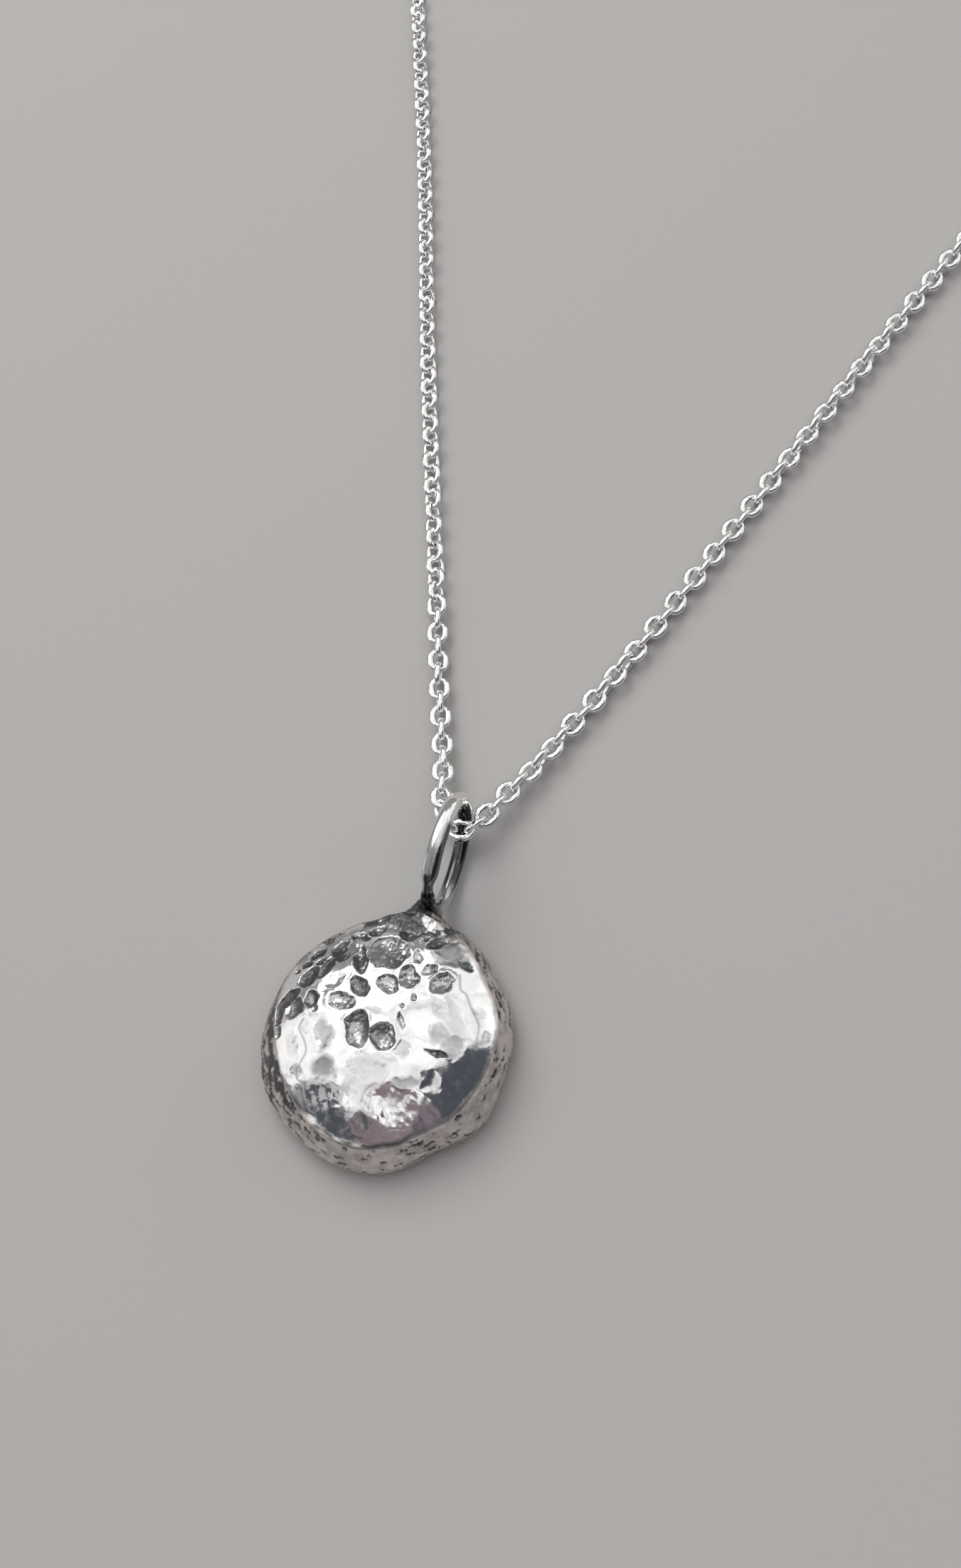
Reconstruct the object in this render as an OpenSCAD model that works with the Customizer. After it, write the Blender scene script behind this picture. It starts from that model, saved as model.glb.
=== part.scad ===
// Pebble pendant on a fine cable chain, laid on a table as it is shown.
// Millimetres. The origin is the middle of the pebble's flat back, +Y runs from the pebble to the
// clasp, and +Z is up from the table.

/* [Pebble] */
// Height of the crease between the pitted edge and the polished face
crease_h = 3; // [2.7:0.1:3.2]
// Rise of the polished face above the crease
dome_h = 2.4; // [1.8:0.1:2.8]
// How deep the hammer marks and pits are, against the real ones
mark_scale = 1; // [0.5:0.1:1.3]
// Height of the long lumps that the hammer leaves over the whole pebble
lump_h = 0.07; // [0:0.01:0.12]

/* [Bail] */
// Thickness of the bail's wire
bail_wire = 0.9; // [0.7:0.05:0.95]
// Length of the bail over its wire
bail_l = 7.7; // [7.4:0.1:7.9]
// Height of the bail over its wire
bail_h = 5.9; // [5.6:0.1:6.2]
// How far the bail is turned out of line
bail_turn = 4.4; // [3:0.2:5.4]

/* [Chain] */
// Thickness of the chain over its links
chain_d = 1.2; // [1:0.05:1.25]

/* [Clasp] */
// Outer diameter of the clasp's ring
clasp_d = 5.5; // [5:0.1:5.6]
// Thickness of the clasp's ring
clasp_wire = 1.1; // [0.9:0.05:1.2]
// Inner diameter of the eyes that hold the chain's last links
eye_bore = 1.1; // [1:0.05:1.2]
// Thickness of the eyes' wire
eye_wire = 0.45; // [0.4:0.05:0.5]

/* [Hidden] */

silver = [0.80, 0.79, 0.77];
bright_silver = [0.86, 0.86, 0.85];

// The pebble's outline, one row for each 22.5 degrees from +X:
// [widest radius, how far the crease lies inside it]
EDGE = [
    [7.4, 0.6], [7.5, 0.5], [7.4, 0.6], [7.6, 0.5],
    [7.6, 0.6], [7.3, 0.7], [7.1, 0.7], [7.1, 0.7],
    [7.1, 1.0], [7.2, 1.5], [7.3, 1.6], [7.2, 1.2],
    [7.4, 1.0], [7.5, 0.9], [7.1, 0.6], [7.6, 0.9]
];
RADIUS = 0;
INSET = 1;

// The edge from the crease down to the back: [share of the crease's inset, share of its height, inset]
WALL = [
    [0.86, 0.93, 0], [0.55, 0.78, 0], [0.20, 0.56, 0], [0, 0.37, 0],
    [0, 0.2, 0.07], [0, 0.08, 0.25], [0, 0, 0.7]
];

// The pits and hammer marks in the face: [x, y, radius, depth, stretch, direction of the stretch]
MARKS = [
    [-0.6, 4.3, 1.15, 0.5, 1.2, 10], [-0.1, 6.0, 0.6, 0.3, 1, 0], [1.3, 3.1, 0.6, 0.4, 1, 0],
    [0.2, 2.3, 0.65, 0.3, 1.2, -30], [3.0, 3.5, 0.75, 0.45, 1, 0], [1.1, 4.5, 0.4, 0.2, 1.2, 60],
    [2.2, 4.1, 0.4, 0.25, 1, 0], [-1.3, 1.7, 0.65, 0.45, 1.2, 60], [-2.0, 0.5, 0.7, 0.3, 1.4, 20],
    [-1.0, 0.7, 0.45, 0.35, 1, 0], [-3.6, 0.3, 0.5, 0.35, 1, 0], [-0.3, -0.5, 0.8, 0.5, 1.4, 80],
    [1.3, -0.5, 0.75, 0.5, 1.1, 0], [2.0, 1.8, 0.35, 0.2, 1, 0], [1.8, 0.6, 0.3, 0.2, 1.6, 80],
    [0.4, 0.4, 0.5, 0.12, 1.2, 0], [4.2, -0.3, 0.22, 0.25, 3.4, -32], [-4.7, 1.8, 0.55, 0.3, 1.3, 60],
    [-4.5, 2.7, 0.35, 0.2, 1.2, 50], [-4.9, -0.5, 0.5, 0.3, 1.3, 60], [-5.5, 0.5, 0.35, 0.25, 1.8, 70],
    [-3.4, 2.6, 0.4, 0.25, 2, 45], [-3.0, 3.8, 0.6, 0.3, 1.4, 35], [-1.7, 2.9, 0.5, 0.35, 1.8, 80],
    [-1.7, 4.9, 0.5, 0.25, 1.6, 20], [3.7, 2.1, 0.7, 0.18, 1, 0], [4.1, 0.8, 0.7, 0.2, 1.2, 70],
    [5.0, 0.9, 0.7, 0.16, 1.2, 70], [-2.2, -1.3, 0.6, 0.2, 1.7, 80], [-1.5, -3.1, 0.9, 0.22, 1.1, 0],
    [-0.7, -4.4, 1.0, 0.25, 1.3, 10], [1.9, 5.5, 0.8, 0.3, 1.3, -20], [3.8, 5.1, 0.4, 0.25, 1, 0],
    [2.9, -2.6, 1.1, 0.18, 1.4, -20], [4.5, -1.7, 0.8, 0.2, 1.2, -30], [5.6, -1.6, 1.0, 0.2, 1.2, -60],
    [4.2, -3.6, 1.2, 0.22, 1.3, -40], [1.9, -4.7, 1.2, 0.22, 1.3, 0], [-3.3, -3.1, 0.9, 0.18, 1.2, -50],
    [-2.8, 1.5, 0.7, 0.12, 1.3, 30], [0.7, -2.2, 1.1, 0.14, 1.4, 0]
];

// The neck that joins the pebble to the bail: [y, half width, lowest z, highest z]
NECK = [
    [4.9, 3.0, 0.6, 3.2], [6.0, 2.7, 0.5, 3.6], [6.8, 1.9, 0.5, 3.8],
    [7.4, 1.15, 0.6, 3.95], [7.9, 0.65, 0.9, 4.1], [8.4, 0.45, 1.3, 4.1]
];

// The chain's route from the clasp's left eye, down the left strand, through the bail and up the
// right strand to the clasp's right eye
ROUTE = [
    [-10.1, 199.8, 0.65], [-24, 196.6, 0.65], [-37, 188.6, 0.65], [-47.5, 176.1, 0.65],
    [-53.6, 160.8, 0.65], [-54.6, 144.4, 0.65], [-50.8, 128, 0.65], [-44, 112.5, 0.65],
    [-33.7, 89.2, 0.65], [-23.2, 65, 0.65], [-16.3, 48.2, 0.65], [-11, 35.7, 0.65],
    [-7.9, 28.5, 0.65], [-5.7, 23.3, 0.65], [-4.3, 20.1, 0.8], [-3.1, 17.5, 1.2],
    [-2.4, 15.7, 1.6], [-1.8, 14.3, 1.9], [-1, 13.4, 2.1], [0, 13, 2.2],
    [0.9, 13.4, 2.1], [1.35, 14.4, 1.9], [1.7, 16.1, 1.6], [2.5, 18.6, 1.2],
    [3.6, 21.6, 0.8], [4.9, 25.2, 0.65], [7.4, 32.6, 0.65], [10.8, 43.4, 0.65],
    [15.3, 57.4, 0.65], [21.4, 75, 0.65], [28.7, 95.5, 0.65], [35.9, 114.5, 0.65],
    [41.7, 131, 0.65], [44, 148, 0.65], [41.2, 164.8, 0.65], [33.6, 180.4, 0.65],
    [22.2, 191.6, 0.65], [9.5, 197.9, 0.65], [-0.9, 199.8, 0.65]
];
CLASP_AT = [-5.5, 199.8];

// The long lumps of the pebble, waves that cross: [degrees for each mm along x, along y, start, share]
LUMPS = [[70, 55, 20, 0.5], [70, -55, 20, 0.5], [-60, 105, 0, 0.6]];

// Rings of points in the face, and points round its rim
face_rings = 26;
rim_count = 8 * face_rings;
// Roundness of the face's curve, of a mark's bowl, and how close to the crease the marks fade out
face_power = 2.5;
bowl_power = 1.5;
fade_power = 12;
// The crease is higher at the near left: by how much, its direction, how wide it is, and how fast it fades
high_side = 0.5;
high_side_angle = 210;
high_side_width = 34;
high_side_power = 4;
// The chain's tube: sides, and rings for each stretch of its route
tube_sides = 8;
rings_per_stretch = 2;
// The bail's place, the radius of its end arcs as a share of half its height, how far they run into the
// side arcs in degrees, and how much thicker the side arcs' wire is
bail_at = [0.05, 11.15];
bail_end_share = 0.9;
arc_overrun = 3;
hair = 0.02;
// How deep the clasp's eyes are sunk into its ring
eye_sink = 0.15;

// A smooth curve through b and c, with a and d as its neighbours
function smooth(a, b, c, d, t) =
    (2 * b + (c - a) * t + (2 * a - 5 * b + 4 * c - d) * t * t + (3 * b - a - 3 * c + d) * t * t * t) / 2;

// A column of EDGE at any direction
function edge_row(i) = EDGE[(i + len(EDGE)) % len(EDGE)];
function edge(angle, column) =
    let (
        u = angle * len(EDGE) / 360,
        i = floor(u),
        near = [for (k = [-1:2]) edge_row(i + k)[column]]
    )
    smooth(near[0], near[1], near[2], near[3], u - i);

// The distance to a mark's middle, as a share of its radius, with the stretch taken out
function mark_distance(m, x, y) =
    let (
        dx = x - m[0],
        dy = y - m[1],
        along = dx * cos(m[5]) + dy * sin(m[5]),
        across = dy * cos(m[5]) - dx * sin(m[5])
    )
    norm([along / m[4], across]) / m[2];
function mark_depth(m, u) = u >= 1 ? 0 : m[3] * pow(1 - u * u, bowl_power);
function marks(x, y) = mark_scale * max([for (m = MARKS) mark_depth(m, mark_distance(m, x, y))]);
function sum(list, i = 0) = i < len(list) ? list[i] + sum(list, i + 1) : 0;
function lumps(x, y) = lump_h * sum([for (w = LUMPS) w[3] * sin(w[0] * x + w[1] * y + w[2])]);

// How much higher the crease is at any direction
function crease_lift(angle) = high_side * exp(-pow((angle - high_side_angle) / high_side_width, 2));

// A point of the polished face: k is the share of the way from the middle to the crease
function face_point(k, angle) =
    let (
        r = k * (edge(angle, RADIUS) - edge(angle, INSET)),
        x = r * cos(angle),
        y = r * sin(angle),
        dome = crease_h + dome_h * (1 - pow(k, face_power)) + crease_lift(angle) * pow(k, high_side_power)
    )
    [x, y, dome - marks(x, y) * (1 - pow(k, fade_power)) + lumps(x, y)];

// A point of the edge: row is a row of WALL
function wall_point(row, angle) =
    let (
        r = edge(angle, RADIUS) - row[0] * edge(angle, INSET) - row[2],
        lump = row[1] == 0 ? 0 : lumps(r * cos(angle), r * sin(angle))
    )
    [r * cos(angle), r * sin(angle), row[1] * (crease_h + lump + crease_lift(angle))];

// Ring j of the face has 8 j points, so its triangles are all of a size
function ring_start(j) = j == 0 ? 0 : 1 + 4 * j * (j - 1);
function ring_at(j, i) = j == 0 ? 0 : ring_start(j) + i % (8 * j);

module pebble() {
    face_points = [
        for (j = [0:face_rings]) for (i = [0:max(8 * j, 1) - 1])
            face_point(j / face_rings, j == 0 ? 0 : 360 * i / (8 * j))
    ];
    wall_points = [for (row = WALL) for (i = [0:rim_count - 1]) wall_point(row, 360 * i / rim_count)];
    face_triangles = [
        for (j = [0:face_rings - 1]) for (part = [0:7])
            let (inner = part * j, outer = part * (j + 1)) each concat(
                [
                    for (i = [0:j])
                        [ring_at(j, inner + i), ring_at(j + 1, outer + i + 1), ring_at(j + 1, outer + i)]
                ],
                [
                    for (i = [0:1:j - 1])
                        [ring_at(j, inner + i), ring_at(j, inner + i + 1), ring_at(j + 1, outer + i + 1)]
                ]
            )
    ];
    first = ring_start(face_rings);
    wall_triangles = [
        for (w = [0:len(WALL) - 1]) for (i = [0:rim_count - 1])
            let (a = first + w * rim_count + i, b = first + w * rim_count + (i + 1) % rim_count)
            each [[a, b, b + rim_count], [a, b + rim_count, a + rim_count]]
    ];
    last = first + len(WALL) * rim_count;
    back = [for (i = [0:rim_count - 1]) last + i];
    polyhedron(concat(face_points, wall_points), concat(face_triangles, wall_triangles, [back]));
}

// Joins rings of points into a closed body; every ring has the same count of points
module skin(rings) {
    n = len(rings[0]);
    count = len(rings);
    sides = [
        for (r = [0:count - 2]) for (i = [0:n - 1])
            let (a = r * n + i, b = r * n + (i + 1) % n)
            each [[a, b, b + n], [a, b + n, a + n]]
    ];
    start = [for (i = [0:n - 1]) n - 1 - i];
    end = [for (i = [0:n - 1]) (count - 1) * n + i];
    polyhedron([for (ring = rings) each ring], concat([start], sides, [end]));
}

// A row of NECK, or the row between two of them
function neck_row(i) = NECK[max(0, min(i, len(NECK) - 1))];
function neck_size(u) =
    let (i = floor(u)) smooth(neck_row(i - 1), neck_row(i), neck_row(i + 1), neck_row(i + 2), u - i);

// Rounded sections from the pebble's body up to the bail
module neck() {
    sections = 24;
    steps = 3;
    roundness = 0.7;
    rings = [
        for (k = [0:steps * (len(NECK) - 1)])
            let (
                size = neck_size(k / steps),
                mid = (size[2] + size[3]) / 2,
                half = (size[3] - size[2]) / 2
            ) [
                for (i = [0:sections - 1])
                    let (
                        c = cos(360 * i / sections),
                        s = sin(360 * i / sections),
                        x = size[1] * sign(c) * pow(abs(c), roundness)
                    )
                    [x, size[0], mid + half * sign(s) * pow(abs(s), roundness)]
            ]
    ];
    skin(rings);
}

module wire_arc(radius, wire, from, to) {
    rotate([0, 0, from])
        rotate_extrude(angle = to - from, $fn = 64)
            translate([radius, 0]) circle(d = wire, $fn = 32);
}

// An oval of four arcs, standing on the table in line with the neck. The end arcs run a little way
// into the side arcs, whose wire is a hair thicker.
module bail() {
    long = (bail_l - bail_wire) / 2;
    high = (bail_h - bail_wire) / 2;
    end_r = bail_end_share * high;
    end_at = long - end_r;
    side_r = (end_at * end_at + high * high - end_r * end_r) / (2 * (high - end_r));
    side_at = side_r - high;
    join = atan2(side_at, end_at);
    side_wire = bail_wire + hair;
    translate([bail_at[0], bail_at[1], bail_h / 2])
        rotate([0, 0, bail_turn])
            rotate([90, 0, 90]) {
                for (turn = [0, 180]) rotate([0, 0, turn]) {
                    translate([end_at, 0]) wire_arc(end_r, bail_wire, -join - arc_overrun, join + arc_overrun);
                    translate([0, -side_at]) wire_arc(side_r, side_wire, join, 180 - join);
                }
            }
}

// Pebble, neck and bail are cast and soldered into one piece
module pendant() {
    color(silver) union() {
        pebble();
        neck();
        bail();
    }
}

// Points along the chain's route, with a ring at each
function route_end(i) = i < 0 ? 2 * ROUTE[0] - ROUTE[1]
    : i >= len(ROUTE) ? 2 * ROUTE[len(ROUTE) - 1] - ROUTE[len(ROUTE) - 2] : ROUTE[i];
function route_point(i, t) = smooth(route_end(i - 1), route_end(i), route_end(i + 1), route_end(i + 2), t);
function unit(v) = v / norm(v);

// The chain's outer form: a tube swept along the route
module chain() {
    centres = concat(
        [
            for (i = [0:len(ROUTE) - 2]) for (k = [0:rings_per_stretch - 1])
                route_point(i, k / rings_per_stretch)
        ],
        [ROUTE[len(ROUTE) - 1]]
    );
    count = len(centres);
    rings = [
        for (i = [0:count - 1])
            let (
                ahead = unit(centres[min(i + 1, count - 1)] - centres[max(i - 1, 0)]),
                side = unit(cross([0, 0, 1], ahead)),
                above = cross(ahead, side)
            )
            [
                for (s = [0:tube_sides - 1])
                    let (turn = -360 * s / tube_sides)
                    centres[i] + chain_d / 2 * (side * cos(turn) + above * sin(turn))
            ]
    ];
    color(bright_silver) skin(rings);
}

// A plain ring with an eye on each side for the chain's last links
module clasp() {
    ring_r = (clasp_d - clasp_wire) / 2;
    eye_r = (eye_bore + eye_wire) / 2;
    eye_at = clasp_d / 2 + eye_r - eye_sink;
    color(bright_silver)
        translate([CLASP_AT[0], CLASP_AT[1], clasp_wire / 2])
            union() {
                rotate_extrude($fn = 64) translate([ring_r, 0]) circle(d = clasp_wire, $fn = 32);
                for (side = [-1, 1])
                    translate([side * eye_at, 0])
                        rotate_extrude($fn = 48) translate([eye_r, 0]) circle(d = eye_wire, $fn = 24);
            }
}

pendant();
chain();
clasp();
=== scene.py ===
import itertools
import bpy
import numpy as np
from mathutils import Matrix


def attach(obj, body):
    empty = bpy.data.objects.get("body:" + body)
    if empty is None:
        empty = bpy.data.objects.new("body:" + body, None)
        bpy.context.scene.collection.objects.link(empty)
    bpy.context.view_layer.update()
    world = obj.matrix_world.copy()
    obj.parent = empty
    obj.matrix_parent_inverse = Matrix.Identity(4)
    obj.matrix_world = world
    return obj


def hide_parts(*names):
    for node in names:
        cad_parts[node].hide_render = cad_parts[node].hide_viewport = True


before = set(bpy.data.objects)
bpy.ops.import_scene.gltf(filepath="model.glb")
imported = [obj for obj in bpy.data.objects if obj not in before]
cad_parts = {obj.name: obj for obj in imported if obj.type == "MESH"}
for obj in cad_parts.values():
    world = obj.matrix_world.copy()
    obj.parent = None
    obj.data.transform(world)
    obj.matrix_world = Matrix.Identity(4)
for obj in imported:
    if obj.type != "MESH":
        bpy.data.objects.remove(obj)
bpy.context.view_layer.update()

# The table and the studio
# A plain pale grey table top under soft studio light. A wide white ceiling of light lies over it, the far
# wall is grey, and the near side is dark with a warm patch, so that polished silver has both to mirror.
MM = 0.001
# The table's side, and the places of the key light and the camera, are in metres; the pieces are in mm
TABLE_SIDE = 12.0
TABLE_GREY = (0.44, 0.427, 0.416, 1)
TABLE_ROUGHNESS = 0.75
BACKDROP_GREY = (0.40, 0.39, 0.38, 1)
CEILING_LOW = (0.66, 0.66, 0.665, 1)
CEILING_HIGH = (1.10, 1.10, 1.09, 1)
# The studio's patches: colour, direction (right, far, up), and the cosines of the angle from that
# direction at which the patch begins and is full
STUDIO = [
    [(0.27, 0.265, 0.26, 1), (-0.258, 0.369, -0.893), -0.20, -0.10],
    [(0.98, 0.98, 0.98, 1), (0.573, 0.751, 0.326), 0.925, 0.955],
    [(0.98, 0.98, 0.98, 1), (-0.913, -0.369, 0.174), 0.915, 0.950],
    [(0.070, 0.076, 0.092, 1), (0.924, -0.282, 0.259), 0.78, 0.81],
    [(0.215, 0.17, 0.19, 1), (0.187, -0.879, 0.438), 0.860, 0.885],
    [(0.080, 0.086, 0.100, 1), (-0.421, -0.864, 0.276), 0.895, 0.915],
    [(0.065, 0.057, 0.057, 1), (0.105, -0.860, -0.500), 0.76, 0.81],
]
# How far the patches' borders wander, as a share of the direction
WAVER = (0.5, 0.5, 0.5)
# How bright the mirrored studio is in its darkest and its lightest spots, as a share of its colours
CLUTTER_DARK = 0.72
CLUTTER_LIGHT = 1.28
KEY_LIGHT_AT = (-0.26, 0.24, 0.42)
KEY_LIGHT_SIDE = 0.34
KEY_LIGHT_POWER = 1.1
CAMERA_AT = (0.02828, -0.01555, 0.0859)
CAMERA_RIGHT = (0.9210, 0.3464, -0.1782)
CAMERA_FORWARD = (-0.3000, 0.3387, -0.8918)
LENS = 36
SENSOR = 36


def add(tree, kind, sockets=None, **options):
    """One node with its options; a socket gets a value, or a link when it is given another socket."""
    made = tree.nodes.new(kind)
    for name, value in options.items():
        setattr(made, name, value)
    for name, value in (sockets or {}).items():
        if isinstance(value, bpy.types.NodeSocket):
            tree.links.new(value, made.inputs[name])
        else:
            made.inputs[name].default_value = value
    return made


def blend(tree, share, low, high):
    """The colour low * (1 - share) + high * share."""
    return add(tree, "ShaderNodeMix", {0: share, 6: low, 7: high}, data_type="RGBA").outputs[2]


def ramp(tree, value, begins, full):
    """0 up to where it begins, 1 from where it is full, and 3t^2 - 2t^3 between them."""
    sockets = {"Value": value, "From Min": begins, "From Max": full}
    return add(tree, "ShaderNodeMapRange", sockets, interpolation_type="SMOOTHSTEP").outputs[0]


def cloudy(tree, place, scale, detail, roughness=0.5, out="Fac"):
    """Noise with about scale waves to each unit of place, and waves twice as fine added detail times."""
    sockets = {"Vector": place, "Scale": scale, "Detail": detail, "Roughness": roughness}
    return add(tree, "ShaderNodeTexNoise", sockets).outputs[out]


def reckon(tree, operation, *values, kind="ShaderNodeMath", out=0, **options):
    """What one Math or Vector Math node makes of its values, which may be sockets."""
    return add(tree, kind, dict(enumerate(values)), operation=operation, **options).outputs[out]


def light_the_room():
    """The world's colour for each direction: the ceiling's soft light, covered by the studio's patches.
    Past the table's edge the camera sees a plain backdrop in its place."""
    world = bpy.data.worlds.new("studio")
    bpy.context.scene.world = world
    world.use_nodes = True
    tree = world.node_tree
    tree.nodes.clear()
    ray = add(tree, "ShaderNodeTexCoord").outputs["Generated"]
    light = blend(tree, ramp(tree, cloudy(tree, ray, 3.0, 1.0), 0.3, 0.6), CEILING_LOW, CEILING_HIGH)
    waver = cloudy(tree, ray, 4.0, 3.0, out="Color")
    waver = reckon(tree, "SUBTRACT", waver, (0.5, 0.5, 0.5), kind="ShaderNodeVectorMath")
    shifted = reckon(tree, "MULTIPLY_ADD", waver, WAVER, ray, kind="ShaderNodeVectorMath")
    for colour, towards, begins, full in STUDIO:
        facing = reckon(tree, "DOT_PRODUCT", shifted, towards, kind="ShaderNodeVectorMath", out="Value")
        light = blend(tree, ramp(tree, facing, begins, full), light, colour)
    clutter = add(tree, "ShaderNodeMapRange", {
        "Value": cloudy(tree, ray, 14.0, 6.0), "From Min": 0.3, "From Max": 0.7,
        "To Min": CLUTTER_DARK, "To Max": CLUTTER_LIGHT,
    }).outputs[0]
    mirrored = add(tree, "ShaderNodeBackground", {"Color": light, "Strength": clutter}).outputs[0]
    seen = add(tree, "ShaderNodeBackground", {"Color": BACKDROP_GREY}).outputs[0]
    straight = add(tree, "ShaderNodeLightPath").outputs["Is Camera Ray"]
    both = add(tree, "ShaderNodeMixShader", {0: straight, 1: mirrored, 2: seen}).outputs[0]
    add(tree, "ShaderNodeOutputWorld", {"Surface": both})


def make_table():
    """A square of table top round the object, on which the object lies."""
    mesh = bpy.data.meshes.new("table")
    half = TABLE_SIDE / 2
    corners = [(-half, -half, 0), (half, -half, 0), (half, half, 0), (-half, half, 0)]
    mesh.from_pydata(corners, [], [(0, 1, 2, 3)])
    surface = bpy.data.materials.new("matt_grey")
    surface.use_nodes = True
    shader = surface.node_tree.nodes["Principled BSDF"]
    shader.inputs["Base Color"].default_value = TABLE_GREY
    shader.inputs["Roughness"].default_value = TABLE_ROUGHNESS
    mesh.materials.append(surface)
    table = bpy.data.objects.new("table", mesh)
    bpy.context.collection.objects.link(table)


def unit(vectors):
    """Vectors brought to a length of 1."""
    return vectors / np.linalg.norm(vectors, axis=-1, keepdims=True)


def aim(item, place, right, forward):
    """Sets an object at a place, looking along forward with its right side along right."""
    forward = unit(np.array(forward))
    right = unit(np.array(right) - forward * (forward @ right))
    turned = np.eye(4)
    turned[:3, 0] = right
    turned[:3, 1] = np.cross(right, forward)
    turned[:3, 2] = -forward
    turned[:3, 3] = place
    item.matrix_world = turned.T.tolist()
    bpy.context.collection.objects.link(item)


light_the_room()
make_table()
lamp = bpy.data.lights.new("key_light", "AREA")
lamp.size = KEY_LIGHT_SIDE
lamp.energy = KEY_LIGHT_POWER
aim(bpy.data.objects.new("key_light", lamp), KEY_LIGHT_AT, (1, 1, 0), -np.array(KEY_LIGHT_AT))
lens = bpy.data.cameras.new("camera")
lens.lens = LENS
lens.sensor_width = SENSOR
lens.clip_start = MM
camera = bpy.data.objects.new("camera", lens)
aim(camera, CAMERA_AT, CAMERA_RIGHT, CAMERA_FORWARD)
bpy.context.scene.camera = camera
bpy.context.scene.view_settings.view_transform = "Standard"

# The pebble and its neck
# A solid cast lump of silver with a flat back. Its pitted edge is left satin. The domed face above the
# crease is hammered, blackened and polished, and a rough neck rises at the top to take the bail's foot.
CREASE_HEIGHT = 3.0
DOME_RISE = 2.4
DOME_POWER = 2.5
# The outline, a row for each 22.5 degrees from the right: widest radius, how far the crease lies inside it
EDGE = np.array([
    [7.4, 0.6], [7.5, 0.5], [7.4, 0.6], [7.6, 0.5], [7.6, 0.6], [7.3, 0.7], [7.1, 0.7], [7.1, 0.7],
    [7.1, 1.0], [7.2, 1.5], [7.3, 1.6], [7.2, 1.2], [7.4, 1.0], [7.5, 0.9], [7.1, 0.6], [7.6, 0.9],
])
# The edge from the crease down to the back: share of the crease's inset, share of its height, inset
WALL = np.array([
    [1, 1, 0], [0.86, 0.93, 0], [0.55, 0.78, 0], [0.20, 0.56, 0], [0, 0.37, 0], [0, 0.2, 0.07],
    [0, 0.08, 0.25], [0, 0, 0.7],
])
# The columns of a mark in the face: its middle, radius, depth, how many times longer it is one way and in
# which direction in degrees, and its tone
X, Y, RADIUS, DEPTH, STRETCH, TURN, TONE = range(7)
# The deep pits; their tone is how much painted light brightens the near left of the floor
PITS = np.array([
    [-3.1, 3.6, 0.80, 0.30, 1.0, 36, 0], [-1.8, 3.3, 0.46, 0.28, 2.3, -54, 0],
    [-3.6, 2.3, 0.42, 0.24, 1.9, 71, 0.15], [-4.7, 3.1, 0.30, 0.20, 1.9, 53, 0],
    [-4.2, 2.6, 0.24, 0.18, 1.5, 50, 0], [-5.0, 2.3, 0.30, 0.18, 1.2, 29, 0],
    [-4.4, 1.5, 0.54, 0.30, 1.4, 74, 0.1], [-5.4, 1.8, 0.20, 0.14, 1.1, 14, 0.1],
    [-2.6, 4.7, 0.28, 0.18, 2.4, 0, 0], [-1.8, 5.4, 0.34, 0.20, 1.6, 49, 0],
    [-5.2, 0.1, 0.46, 0.26, 1.8, 51, 0.15], [-5.5, -0.8, 0.34, 0.20, 2.3, -75, 0.15],
    [-4.5, -0.4, 0.58, 0.28, 1.1, 52, 0.6], [-5.1, -1.9, 0.26, 0.16, 1.6, -60, 0.7],
    [-3.6, 0.3, 0.48, 0.30, 1.2, -70, 0.3], [-1.1, 1.7, 0.50, 0.34, 1.5, -41, 0.4],
    [-1.8, 0.6, 0.52, 0.28, 1.7, 4, 0.95], [-0.2, -0.6, 0.74, 0.48, 1.4, -68, 0.8],
    [1.3, -0.6, 0.74, 0.46, 1.1, -27, 0.6], [-0.5, 4.2, 1.10, 0.48, 1.1, 13, 0.6],
    [0.0, 5.9, 0.62, 0.26, 1.2, -61, 0.1], [1.8, 5.6, 0.36, 0.20, 1.6, 58, 0],
    [3.7, 5.0, 0.24, 0.18, 2.2, -20, 0.3], [1.2, 4.4, 0.27, 0.14, 1.7, -64, 1],
    [2.2, 4.0, 0.27, 0.16, 1.8, 49, 1], [1.3, 3.1, 0.58, 0.36, 1.2, -58, 0.85],
    [3.1, 3.4, 0.60, 0.40, 1.2, 82, 0.75], [0.4, 2.3, 0.54, 0.28, 1.3, -12, 0.9],
    [4.2, -0.4, 0.15, 0.14, 4.8, 5, 0.3], [2.1, 2.0, 0.20, 0.14, 1.0, 0, 0.6],
    [1.7, 1.4, 0.16, 0.10, 1.0, 20, 0.6], [1.9, 0.6, 0.20, 0.14, 2.6, -60, 0.3],
    [-3.2, -0.2, 0.22, 0.08, 1.4, 30, 1],
])
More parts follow.
